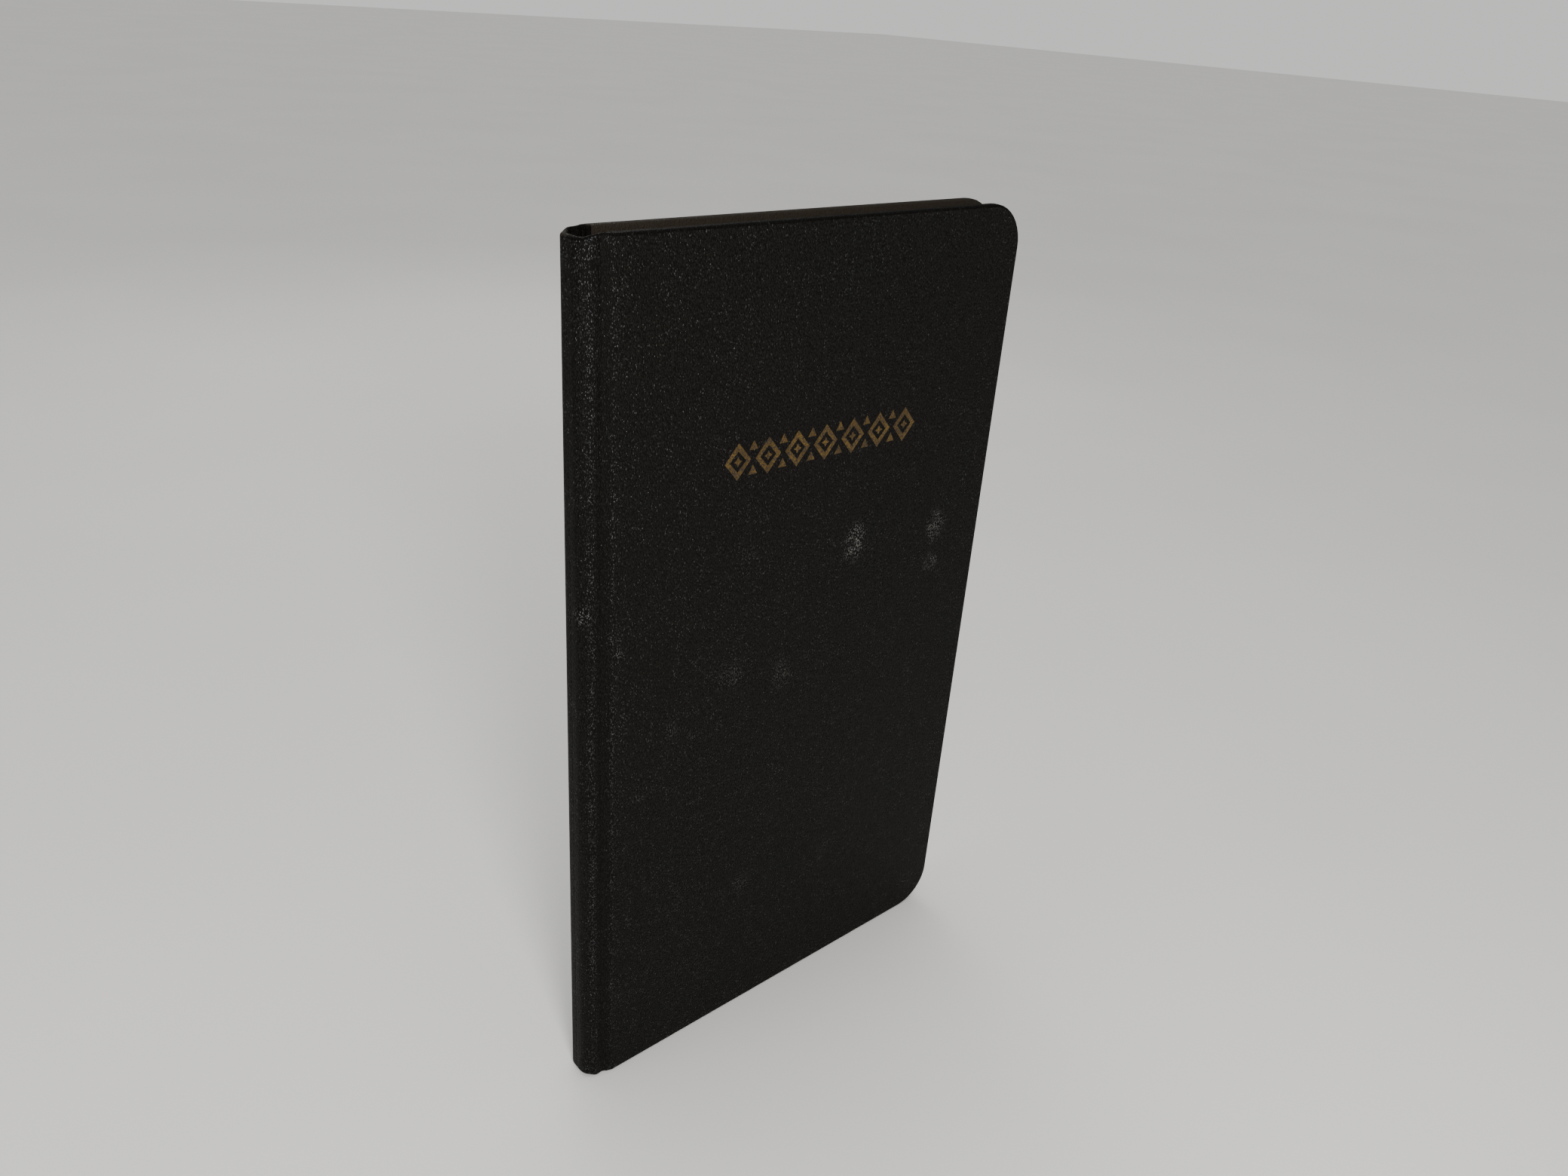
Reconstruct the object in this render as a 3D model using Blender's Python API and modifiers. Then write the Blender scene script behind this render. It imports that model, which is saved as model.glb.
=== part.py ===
"""A pocket prayer book: a stiff case in grained cloth around a sewn block of thin leaves.

Metres, +Z up. The book stands on its tail with the spine at -X and the front cover at -Y.
Depths are measured inwards from the outer face of a cover, and reaches from the back of the spine.
"""

import math

import bmesh
import bpy

MM = 0.001

# The closed book.
HEIGHT = 152.4 * MM
WIDTH = 89.0 * MM
THICKNESS = 7.8 * MM
CORNER_RADIUS = 7.6 * MM
GLUE_LINE = 0.02 * MM
CLEAR = 5.0 * MM

# The two covers: cloth, board, the turned-in cloth and the pastedown, one under the other.
CLOTH = 0.30 * MM
BOARD = 1.10 * MM
ENDPAPER = 0.10 * MM
BOARD_DEPTH = CLOTH + GLUE_LINE
TURN_IN_DEPTH = BOARD_DEPTH + BOARD + GLUE_LINE
PASTEDOWN_DEPTH = TURN_IN_DEPTH + CLOTH + GLUE_LINE
COVER_DEPTH = PASTEDOWN_DEPTH + ENDPAPER
TURN_IN_WIDTH = 12.0 * MM
BOARD_REACH = 5.10 * MM
SQUARE = 2.6 * MM

# The joint: a groove in the cloth beside the spine, hinged where it meets the spine.
GROOVE_DEPTH = 0.70 * MM
RAMP_START = 3.7 * MM
RAMP_END = 5.0 * MM
RAMP_RISE = 0.08 * MM
RAMP_STEPS = 8
HINGE_REACH = 2.40 * MM
HINGE_GAP = 0.02 * MM
HINGE_DEPTH = GROOVE_DEPTH - HINGE_GAP

# The spine of the case, rounded into the joints.
CREST_REACH = HINGE_REACH - HINGE_GAP
CREST_DEPTH = GROOVE_DEPTH + HINGE_GAP
SPINE_ROUND = 2.2 * MM
SPINE_STEPS = 10
INLAY = 0.50 * MM
INLAY_ANGLE = 50.0

# The sewn block.
SECTIONS = 6
SHEETS = 4
LEAF_GAP = 0.05 * MM
FLYLEAF_DEPTH = COVER_DEPTH + LEAF_GAP
TEXT_DEPTH = FLYLEAF_DEPTH + ENDPAPER + 0.03 * MM
SECTION_PITCH = (THICKNESS - 2 * TEXT_DEPTH) / SECTIONS
LEAF_PITCH = SECTION_PITCH / (2 * SHEETS)
LEAF = 0.06 * MM
FOLD_REACH = 2.55 * MM
FOLD_STEPS = 6
PAGE_RADIUS = CORNER_RADIUS - SQUARE
FORE_EDGE = WIDTH - SQUARE
LEAF_AXIS_DEPTH = COVER_DEPTH + LEAF_GAP / 2

# What holds the folds together, behind them.
THREAD_RADIUS = 0.10 * MM
KETTLE_INSET = 11.0 * MM
MULL = 0.12 * MM
MULL_INSET = 6.0 * MM
FLAP_INSET = 14.0 * MM
FLAP_REACH = 17.0 * MM
LINING = 0.10 * MM

FRONT = -1
BACK = 1
SIDE_NAMES = {FRONT: "front", BACK: "back"}
ARC_STEPS = 8

BLACK_CLOTH = (0.013, 0.012, 0.012)
BOARD_GREY = (0.36, 0.33, 0.29)
CARD_BROWN = (0.42, 0.35, 0.26)
ENDPAPER_CREAM = (0.76, 0.72, 0.63)
PAGE_CREAM = (0.83, 0.79, 0.70)
GAUZE_WHITE = (0.80, 0.77, 0.69)
THREAD_WHITE = (0.86, 0.84, 0.78)
KRAFT_BROWN = (0.45, 0.32, 0.20)


def clear_scene():
    for obj in list(bpy.data.objects):
        bpy.data.objects.remove(obj, do_unlink=True)


def new_collection(name):
    made = bpy.data.collections.new(name)
    bpy.context.scene.collection.children.link(made)
    return made


def at_reach(reach):
    """X of a place that far from the back of the spine."""
    return reach - WIDTH / 2


def at_depth(side, depth):
    """Y of a place that deep under the outer face of the cover on that side."""
    return side * (THICKNESS / 2 - depth)


def material(name, colour, roughness):
    made = bpy.data.materials.new(name)
    made.use_nodes = True
    shader = made.node_tree.nodes["Principled BSDF"]
    shader.inputs["Base Color"].default_value = (*colour, 1.0)
    shader.inputs["Roughness"].default_value = roughness
    shader.inputs["Metallic"].default_value = 0.0
    return made


def arc(centre, radius, start, end, steps=ARC_STEPS):
    """Points on a circular arc, by angles in degrees."""
    angles = [math.radians(start + (end - start) * i / steps) for i in range(steps + 1)]
    return [(centre[0] + radius * math.cos(a), centre[1] + radius * math.sin(a)) for a in angles]


def leaf_outline(left, right, bottom, top, radius):
    """An upright rectangle in X and Z with the two corners at its fore-edge rounded."""
    points = [(left, top), (left, bottom)]
    points += arc((right - radius, bottom + radius), radius, -90, 0)
    points += arc((right - radius, top - radius), radius, 0, 90)
    return points


def smooth(share):
    return share * share * (3 - 2 * share)


def curve_object(name, points, half_extrude, closed, fill):
    """A flat poly curve with an extrude along its own Z."""
    curve = bpy.data.curves.new(name, "CURVE")
    curve.dimensions = "2D"
    curve.fill_mode = fill
    curve.extrude = half_extrude
    spline = curve.splines.new("POLY")
    spline.points.add(len(points) - 1)
    for point, (x, y) in zip(spline.points, points):
        point.co = (x, y, 0.0, 1.0)
    spline.use_cyclic_u = closed
    made = bpy.data.objects.new(name, curve)
    bpy.context.scene.collection.objects.link(made)
    return made


def to_mesh(obj, collection):
    """The evaluated object as a welded mesh object, in place of the first one."""
    bpy.context.view_layer.update()
    evaluated = obj.evaluated_get(bpy.context.evaluated_depsgraph_get())
    mesh = bpy.data.meshes.new_from_object(evaluated)
    name = obj.name
    matrix = obj.matrix_world.copy()
    bpy.data.objects.remove(obj, do_unlink=True)
    welder = bmesh.new()
    welder.from_mesh(mesh)
    bmesh.ops.remove_doubles(welder, verts=welder.verts, dist=0.0005 * MM)
    bmesh.ops.recalc_face_normals(welder, faces=welder.faces)
    welder.to_mesh(mesh)
    welder.free()
    made = bpy.data.objects.new(name, mesh)
    made.matrix_world = matrix
    collection.objects.link(made)
    return made


def plate(name, outline, side, depth, thickness, collection):
    """A flat piece: an outline in X and Z, at that depth under the cover on that side."""
    made = curve_object(name, outline, thickness / 2, True, "BOTH")
    made.rotation_euler = (math.radians(90), 0.0, 0.0)
    made.location = (0.0, at_depth(side, depth + thickness / 2), 0.0)
    return to_mesh(made, collection)


def prism(name, outline, bottom, top, collection):
    """An upright piece: an outline in X and Y, from bottom to top."""
    made = curve_object(name, outline, (top - bottom) / 2, True, "BOTH")
    made.location = (0.0, 0.0, (bottom + top) / 2)
    return to_mesh(made, collection)


def ribbon(name, path, bottom, top, thickness, collection):
    """A thin upright sheet along a path in X and Y, which runs through the middle of it."""
    made = curve_object(name, path, (top - bottom) / 2, False, "NONE")
    made.location = (0.0, 0.0, (bottom + top) / 2)
    made = to_mesh(made, collection)
    solid = made.modifiers.new("Thickness", "SOLIDIFY")
    solid.thickness = thickness
    solid.offset = 0.0
    solid.use_even_offset = True
    return made


def combine(target, tool, operation):
    """Cuts, joins or crops the target with a tool, which stays as a hidden cutter."""
    modifier = target.modifiers.new(tool.name, "BOOLEAN")
    modifier.operation = operation
    modifier.solver = "EXACT"
    modifier.object = tool
    tool.hide_render = True
    tool.display_type = "WIRE"


def hold(obj, body, finish):
    """Gives a piece its material and hangs it on its body without moving it."""
    obj.data.materials.clear()
    obj.data.materials.append(finish)
    obj.parent = body
    obj.location = obj.location - body.location


def joint_depth(reach):
    """Depth of the bottom of the groove, which rises through the outer face at the board's edge."""
    share = min(max((reach - RAMP_START) / (RAMP_END - RAMP_START), 0.0), 1.0)
    return GROOVE_DEPTH - (GROOVE_DEPTH + RAMP_RISE) * smooth(share)


def joint_line(side, inset):
    """The section of the joint cloth from the hinge to the board, that far inside its outer face."""
    line = [(HINGE_REACH - CLEAR, GROOVE_DEPTH + inset)]
    for i in range(RAMP_STEPS + 1):
        reach = RAMP_START + (RAMP_END - RAMP_START) * i / RAMP_STEPS
        step = 0.01 * MM
        slope = (joint_depth(reach + step) - joint_depth(reach - step)) / (2 * step)
        length = math.hypot(1.0, slope)
        line.append((reach - inset * slope / length, joint_depth(reach) + inset / length))
    return [(at_reach(reach), at_depth(side, depth)) for reach, depth in line]


def groove_cutter(side, name, cutters):
    """Everything outside the groove of the joint."""
    outer = at_depth(side, -CLEAR)
    outline = joint_line(side, 0.0)
    outline += [(at_reach(RAMP_END), outer), (at_reach(HINGE_REACH - CLEAR), outer)]
    return prism(name + "_groove_cutter", outline, -CLEAR, HEIGHT + CLEAR, cutters)


def under_joint_cutter(side, name, cutters):
    """Everything behind the cloth of the joint, up to the edge of the board."""
    inner = at_depth(side, COVER_DEPTH + CLEAR)
    edge = at_reach(BOARD_REACH - 2 * GLUE_LINE)
    outline = joint_line(side, CLOTH)
    outline += [(edge, at_depth(side, BOARD_DEPTH)), (edge, inner)]
    outline += [(at_reach(HINGE_REACH - CLEAR), inner)]
    return prism(name + "_under_joint_cutter", outline, -CLEAR, HEIGHT + CLEAR, cutters)


def cover_cloth(side, body, parts, cutters, finish):
    """The cloth of one cover: its face, the joint, and the turn-ins round three edges."""
    name = SIDE_NAMES[side] + "_cover_cloth"
    start = at_reach(HINGE_REACH + HINGE_GAP)
    face = leaf_outline(start, at_reach(WIDTH), 0.0, HEIGHT, CORNER_RADIUS)
    made = plate(name, face, side, 0.0, TURN_IN_DEPTH + CLOTH, parts)
    combine(made, groove_cutter(side, name, cutters), "DIFFERENCE")
    combine(made, under_joint_cutter(side, name, cutters), "DIFFERENCE")
    pocket_start = at_reach(BOARD_REACH - 4 * GLUE_LINE)
    pocket = leaf_outline(
        pocket_start, at_reach(WIDTH - CLOTH), CLOTH, HEIGHT - CLOTH, CORNER_RADIUS - CLOTH
    )
    pocket_depth = TURN_IN_DEPTH - CLOTH
    combine(made, plate(name + "_pocket_cutter", pocket, side, CLOTH, pocket_depth, cutters), "DIFFERENCE")
    window = leaf_outline(
        pocket_start, at_reach(WIDTH - TURN_IN_WIDTH), TURN_IN_WIDTH, HEIGHT - TURN_IN_WIDTH, 2 * MM
    )
    window_depth = TURN_IN_DEPTH - BOARD / 2
    combine(made, plate(name + "_window_cutter", window, side, window_depth, CLEAR, cutters), "DIFFERENCE")
    hold(made, body, finish)


def cover(side, body, parts, cutters, finishes):
    """One cover: board in its cloth, the glued flap of the gauze, and the pastedown over both."""
    name = SIDE_NAMES[side]
    cover_cloth(side, body, parts, cutters, finishes["cloth"])
    board = leaf_outline(
        at_reach(BOARD_REACH),
        at_reach(WIDTH - BOARD_DEPTH),
        BOARD_DEPTH,
        HEIGHT - BOARD_DEPTH,
        CORNER_RADIUS - BOARD_DEPTH,
    )
    hold(plate(name + "_board", board, side, BOARD_DEPTH, BOARD, parts), body, finishes["board"])
    flap = leaf_outline(
        at_reach(BOARD_REACH), at_reach(FLAP_REACH), FLAP_INSET, HEIGHT - FLAP_INSET, 1 * MM
    )
    hold(plate(name + "_mull_flap", flap, side, TURN_IN_DEPTH, MULL, parts), body, finishes["gauze"])
    paste = leaf_outline(at_reach(BOARD_REACH), at_reach(FORE_EDGE), SQUARE, HEIGHT - SQUARE, PAGE_RADIUS)
    hold(
        plate(name + "_pastedown", paste, side, PASTEDOWN_DEPTH, ENDPAPER, parts),
        body,
        finishes["endpaper"],
    )


def spine_line(inset, angle=90.0):
    """The rounded back of the case in X and Y, that far inside its outer face, front to back."""
    reach_radius = CREST_REACH - inset
    depth_radius = SPINE_ROUND - inset
    middle = THICKNESS / 2 - CREST_DEPTH - SPINE_ROUND
    turns = [angle * (1 - i / SPINE_STEPS) for i in range(SPINE_STEPS + 1)]
    front = []
    for turn in turns:
        across = middle + depth_radius * math.sin(math.radians(turn))
        reach = CREST_REACH - reach_radius * math.cos(math.radians(turn))
        front.append((at_reach(reach), -across))
    return front + [(x, -y) for x, y in reversed(front)]


def spine_cloth(body, parts, cutters, finish):
    """The cloth over the spine, turned over the card at head and tail."""
    made = ribbon("spine_cloth", spine_line(CLOTH / 2), 0.0, HEIGHT, CLOTH, parts)
    lip = BOARD_DEPTH + INLAY + GLUE_LINE + CLOTH
    outer, inner = CLOTH / 2, lip
    for label, bottom, top in (("tail", 0.0, TURN_IN_WIDTH), ("head", HEIGHT - TURN_IN_WIDTH, HEIGHT)):
        tool = ribbon(
            f"spine_{label}_turn_in",
            spine_line((outer + inner) / 2, INLAY_ANGLE + 6),
            bottom,
            top,
            inner - outer,
            cutters,
        )
        combine(made, tool, "UNION")
    pocket_line = spine_line(CLOTH + (INLAY + 2 * GLUE_LINE) / 2, INLAY_ANGLE + 2)
    pocket = ribbon(
        "spine_inlay_pocket", pocket_line, CLOTH, HEIGHT - CLOTH, INLAY + 2 * GLUE_LINE, cutters
    )
    combine(made, pocket, "DIFFERENCE")
    hold(made, body, finish)


def spine_inlay(body, parts, finish):
    """The strip of card that stiffens the back of the case."""
    line = spine_line(BOARD_DEPTH + INLAY / 2, INLAY_ANGLE)
    made = ribbon("spine_inlay", line, BOARD_DEPTH, HEIGHT - BOARD_DEPTH, INLAY, parts)
    hold(made, body, finish)


def strip_behind_folds(name, reach, thickness, inset, body, parts, finish):
    """A flat strip glued across the folds, behind them."""
    half = SECTIONS * SECTION_PITCH / 2
    left, right = at_reach(reach), at_reach(reach + thickness)
    outline = [(left, -half), (right, -half), (right, half), (left, half)]
    made = prism(name, outline, SQUARE + inset, HEIGHT - SQUARE - inset, parts)
    hold(made, body, finish)


def section_middle(section):
    """Y of the middle of a section, counted from the front."""
    return (section - (SECTIONS + 1) / 2) * SECTION_PITCH


def sewing_thread(body, parts, finish):
    """The thread that runs behind every fold and steps on to the next at the kettle stitches."""
    reach = FOLD_REACH - GLUE_LINE - THREAD_RADIUS
    low, high = KETTLE_INSET, HEIGHT - KETTLE_INSET
    points = []
    for section in range(1, SECTIONS + 1):
        ends = (low, high) if section % 2 else (high, low)
        points += [(at_reach(reach), section_middle(section), z) for z in ends]
    curve = bpy.data.curves.new("sewing_thread", "CURVE")
    curve.dimensions = "3D"
    curve.bevel_depth = THREAD_RADIUS
    curve.bevel_resolution = 2
    curve.use_fill_caps = True
    spline = curve.splines.new("POLY")
    spline.points.add(len(points) - 1)
    for point, place in zip(spline.points, points):
        point.co = (*place, 1.0)
    drawn = bpy.data.objects.new("sewing_thread", curve)
    bpy.context.scene.collection.objects.link(drawn)
    made = to_mesh(drawn, parts)
    for face in made.data.polygons:
        face.use_smooth = True
    hold(made, body, finish)


def folded_sheet(section, sheet, body, parts, trim, finish):
    """One sheet folded into two leaves, nested in its section and trimmed with the block."""
    spread = (SHEETS - sheet + 0.5) * LEAF_PITCH
    middle = section_middle(section)
    fold = at_reach(FOLD_REACH + (SHEETS - 0.5) * LEAF_PITCH + LEAF / 2)
    tip = at_reach(FORE_EDGE + CLEAR)
    path = [(tip, middle + spread)]
    path += arc((fold, middle), spread, 90, 270, FOLD_STEPS)
    path += [(tip, middle - spread)]
    made = ribbon(f"section_{section}_sheet_{sheet}", path, 0.0, HEIGHT, LEAF, parts)
    combine(made, trim, "INTERSECT")
    hold(made, body, finish)


def trim_block(cutters):
    """The trimmed shape of the whole block: fore-edge, head, tail and its round corners."""
    outline = leaf_outline(at_reach(0.0), at_reach(FORE_EDGE), SQUARE, HEIGHT - SQUARE, PAGE_RADIUS)
    return plate("block_trim", outline, FRONT, TEXT_DEPTH / 2, THICKNESS - TEXT_DEPTH, cutters)


def flyleaf(side, body, parts, finish):
    """The free half of an endpaper."""
    outline = leaf_outline(
        at_reach(FOLD_REACH), at_reach(FORE_EDGE), SQUARE, HEIGHT - SQUARE, PAGE_RADIUS
    )
    made = plate(SIDE_NAMES[side] + "_flyleaf", outline, side, FLYLEAF_DEPTH, ENDPAPER, parts)
    hold(made, body, finish)


def body_empty(name, reach, y, parts):
    """An empty on a body's joint axis, which its pieces hang from."""
    made = bpy.data.objects.new(name, None)
    made.location = (at_reach(reach), y, 0.0)
    parts.objects.link(made)
    return made


def bodies(parts):
    """Every moving body's empty, on the line that it turns about."""
    made = {"spine": body_empty("spine_body", 0.0, 0.0, parts)}
    for side, name in SIDE_NAMES.items():
        made[name + "_cover"] = body_empty(
            name + "_cover_body", HINGE_REACH, at_depth(side, HINGE_DEPTH), parts
        )
        made[name + "_flyleaf"] = body_empty(
            name + "_flyleaf_body", FOLD_REACH, at_depth(side, LEAF_AXIS_DEPTH), parts
        )
    for section in range(1, SECTIONS + 1):
        side = FRONT if section <= SECTIONS // 2 else BACK
        name = f"section_{section}"
        made[name] = body_empty(name + "_body", FOLD_REACH, at_depth(side, LEAF_AXIS_DEPTH), parts)
    return made


def finishes():
    return {
        "cloth": material("grained_cloth", BLACK_CLOTH, 0.48),
        "board": material("greyboard", BOARD_GREY, 0.9),
        "card": material("spine_card", CARD_BROWN, 0.9),
        "endpaper": material("endpaper", ENDPAPER_CREAM, 0.85),
        "page": material("page_paper", PAGE_CREAM, 0.85),
        "gauze": material("mull_gauze", GAUZE_WHITE, 0.95),
        "thread": material("linen_thread", THREAD_WHITE, 0.8),
        "kraft": material("kraft_lining", KRAFT_BROWN, 0.9),
    }


def build():
    clear_scene()
    parts = new_collection("prayer_book")
    cutters = new_collection("cutters")
    body = bodies(parts)
    made = finishes()
    spine_cloth(body["spine"], parts, cutters, made["cloth"])
    spine_inlay(body["spine"], parts, made["card"])
    sewing_thread(body["spine"], parts, made["thread"])
    mull_reach = FOLD_REACH - 2 * THREAD_RADIUS - 2 * GLUE_LINE - MULL
    lining_reach = mull_reach - GLUE_LINE - LINING
    strip_behind_folds("spine_mull", mull_reach, MULL, MULL_INSET, body["spine"], parts, made["gauze"])
    strip_behind_folds("spine_lining", lining_reach, LINING, 1 * MM, body["spine"], parts, made["kraft"])
    trim = trim_block(cutters)
    for side, name in SIDE_NAMES.items():
        cover(side, body[name + "_cover"], parts, cutters, made)
        flyleaf(side, body[name + "_flyleaf"], parts, made["endpaper"])
    for section in range(1, SECTIONS + 1):
        for sheet in range(1, SHEETS + 1):
            folded_sheet(section, sheet, body[f"section_{section}"], parts, trim, made["page"])


build()
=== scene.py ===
"""The looks of a pocket prayer book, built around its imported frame.

A place on the book is given as a reach (from the back of the spine towards the fore-edge), a depth
(inwards from the outer face of the cover on that side) and a height above the tail.
"""

import math

import bpy
import numpy as np
from mathutils import Matrix, Vector, noise


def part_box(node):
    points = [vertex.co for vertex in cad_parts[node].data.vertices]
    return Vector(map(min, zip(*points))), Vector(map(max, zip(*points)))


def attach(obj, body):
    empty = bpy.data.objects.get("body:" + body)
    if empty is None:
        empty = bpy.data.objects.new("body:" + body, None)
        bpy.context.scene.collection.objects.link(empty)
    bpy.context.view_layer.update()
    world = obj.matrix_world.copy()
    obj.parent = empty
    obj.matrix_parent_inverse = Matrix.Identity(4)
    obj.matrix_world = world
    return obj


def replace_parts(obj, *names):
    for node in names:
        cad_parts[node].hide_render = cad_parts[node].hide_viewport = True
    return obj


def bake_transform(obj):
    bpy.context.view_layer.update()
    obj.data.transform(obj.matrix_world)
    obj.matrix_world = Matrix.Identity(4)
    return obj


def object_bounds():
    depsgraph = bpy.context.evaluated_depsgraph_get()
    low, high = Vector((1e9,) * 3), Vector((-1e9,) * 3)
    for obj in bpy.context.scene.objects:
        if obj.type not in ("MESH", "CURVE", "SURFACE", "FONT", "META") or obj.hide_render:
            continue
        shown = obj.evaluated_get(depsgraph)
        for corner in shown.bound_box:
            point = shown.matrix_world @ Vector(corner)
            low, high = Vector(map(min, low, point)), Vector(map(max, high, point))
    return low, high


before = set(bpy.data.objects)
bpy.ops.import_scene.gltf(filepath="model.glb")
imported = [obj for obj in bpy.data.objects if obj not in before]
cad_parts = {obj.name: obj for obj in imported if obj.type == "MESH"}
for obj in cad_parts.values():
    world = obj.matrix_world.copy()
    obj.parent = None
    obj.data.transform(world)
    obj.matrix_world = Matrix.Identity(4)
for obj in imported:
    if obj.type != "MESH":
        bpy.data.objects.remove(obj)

MM = 0.001
CAD_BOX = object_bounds()
LOW, HIGH = CAD_BOX
WIDTH = HIGH.x - LOW.x
THICKNESS = HIGH.y - LOW.y
HEIGHT = HIGH.z - LOW.z
FRONT = -1
BACK = 1
SIDES = {"front": FRONT, "back": BACK}

# The case: the rounded back, the groove, the cloth's wrap and what it hides.
CLOTH = 0.26 * MM
CREST_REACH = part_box("spine_cloth")[1].x - LOW.x
CREST_DEPTH = THICKNESS / 2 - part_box("spine_cloth")[1].y
BOARD_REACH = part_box("front_board")[0].x - LOW.x
BOARD_INNER_DEPTH = THICKNESS / 2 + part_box("front_board")[1].y
SPINE_ROUND = 2.2 * MM
GROOVE_DIP = 0.16 * MM
GROOVE_LOW_REACH = 3.2 * MM
RIDGE_REACH = 5.3 * MM
CORNER_RADIUS = 7.6 * MM
COVER_THICK = BOARD_INNER_DEPTH + 0.3 * MM
JOINT_THICK = 0.56 * MM
JOINT_PAPER_DEPTH = 1.52 * MM
JOINT_GAP = 0.09 * MM
JOINT_END = BOARD_REACH + 0.5 * MM
FOLD_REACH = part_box("front_flyleaf")[0].x - LOW.x
FOLD_DEPTH = THICKNESS / 2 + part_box("front_flyleaf")[0].y - 0.01 * MM
PASTE_DEPTH = THICKNESS / 2 + (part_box("front_pastedown")[0].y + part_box("front_pastedown")[1].y) / 2
BEND_END = 4.2 * MM
SPINE_THICK = 1.10 * MM
TURN_IN = 12.0 * MM
INLAY_CARD = 0.46 * MM
INLAY_DEPTH = 1.25 * MM
INLAY_SHORT = 1.5 * MM
HEAD_DIP = 0.55 * MM
JOINT_DIP = 0.25 * HEAD_DIP
OUTER_ROUND = 0.50 * MM
INNER_ROUND = 0.34 * MM
# Where rubbing and painted sheen run up the shoulder and the ridge, and where painted shade darkens the
# groove.
SHOULDER_REACH = 1.6 * MM
GROOVE_REACH = 3.4 * MM
RIDGE_BAND_REACH = 4.9 * MM

# Steps along the case's section (flat back, round, joint), then round the cloth's wrap.
BACK_STEPS = 3
ROUND_STEPS = 10
JOINT_STEPS = 28
OUTER_STEPS = 5
INNER_STEPS = 3

# Steps of a rounded outline: along its tail, round half a corner, and up its fore-edge.
CLOTH_STEPS = (38, 5, 66)
LEAF_STEPS = (30, 4, 16)

# What the cloth's rim attribute says: 0 on its face, then painted shade where the cloth turns in, at the
# spine's ends and on the front board's edges, then painted light on the back board's edges.
SHADED_RIM = 0.5
LIT_RIM = 1.0

# The block: its leaves and endpapers, its sections and sheets, and the unevenness of its edges.
LEAF = 0.055 * MM
ENDPAPER = 0.10 * MM
SECTIONS = 6
SHEETS = 4
PAGE_LOW, PAGE_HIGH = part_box("front_flyleaf")
PAGE_RADIUS = 5.0 * MM
FOLD_GAP = 0.03 * MM
UNEVEN = 0.05 * MM
LEAF_RIPPLE = 0.004 * MM
FLYLEAF_RIPPLE = 0.006 * MM

# The stamped ornament, centred on the upper part of the front board.
BAND_WIDTH = 43.0 * MM
BAND_HEIGHT = 6.2 * MM
BAND_REACH = 46.2 * MM
BAND_MIDDLE = 116.4 * MM
LOZENGES = 7
FOIL_LIFT = 0.02 * MM

# The camera, as it stands in front of the closed book, and the lights: place, size, power and colour.
CAMERA_PLACE = (-0.1282, -0.1385, 0.1815)
CAMERA_AIM = (-0.0051, -0.0039, 0.0914)
CAMERA_ROLL = 4.27
CAMERA_LENS = 27.44
LIGHTS = {
    "key": ((-0.17, -0.34, 0.27), 0.11, 2.4, (1.0, 0.98, 0.95)),
    "fill": ((-0.60, 0.10, 0.55), 0.4, 1.2, (0.90, 0.95, 1.0)),
    "rear": ((0.20, 0.50, 0.40), 0.3, 0.8, (1.0, 0.97, 0.93)),
}
SKY_POWER = 2.45
WALLS_ON_BOOK = 0.22
WALLS_SEEN = 0.85
FLOOR_HALF = 6.0


def place(side, reach, depth, height):
    """The point in the frame for a reach, a depth and a height, as the top of this file gives them."""
    return Vector((LOW.x + reach, side * (THICKNESS / 2 - depth), height))


def smooth(share):
    share = min(max(share, 0.0), 1.0)
    return share * share * (3 - 2 * share)


def mix(a, b, share):
    return a + (b - a) * share


def wave(x, y, z, size, seed=0.0):
    """Smooth noise from -1 to 1, at that feature size."""
    return noise.noise(Vector((x / size + seed, y / size - seed, z / size + 2 * seed)))


# ---------------------------------------------------------------- meshes


def bend_with_cover(piece):
    """Bakes the piece's placement into its mesh, where it stays at rest."""
    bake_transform(piece)


def mesh_object(name, points, faces, smooth_faces=True):
    """A mesh in the scene, with its places at rest stored on it."""
    mesh = bpy.data.meshes.new(name)
    mesh.from_pydata([tuple(p) for p in points], [], faces)
    mesh.validate()
    mesh.update()
    mesh.polygons.foreach_set("use_smooth", [smooth_faces] * len(mesh.polygons))
    keep_rest(mesh)
    made = bpy.data.objects.new(name, mesh)
    bpy.context.scene.collection.objects.link(made)
    return made


def keep_rest(mesh):
    """Stores each vertex's place at rest for the materials, so that grain stays put when a piece bends."""
    co = np.zeros(len(mesh.vertices) * 3, np.float32)
    mesh.vertices.foreach_get("co", co)
    layer = mesh.attributes.new("rest", "FLOAT_VECTOR", "POINT")
    layer.data.foreach_set("vector", co)


def keep_value(mesh, name, values):
    """Stores one number for each vertex, for a material to read."""
    layer = mesh.attributes.new(name, "FLOAT", "POINT")
    layer.data.foreach_set("value", np.array(values, np.float32))


def grid_faces(columns, rows, flip=False):
    """Quads over a grid stored column by column."""
    faces = []
    for i in range(columns - 1):
        for j in range(rows - 1):
            a = i * rows + j
            quad = (a, a + rows, a + rows + 1, a + 1)
            faces.append(quad[::-1] if flip else quad)
    return faces


def thicken(obj, thickness, offset):
    """Gives a surface its thickness: about itself at offset 0, inwards from its face at -1."""
    solid = obj.modifiers.new("Thickness", "SOLIDIFY")
    solid.thickness = thickness
    solid.offset = offset
    solid.use_even_offset = False


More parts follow.
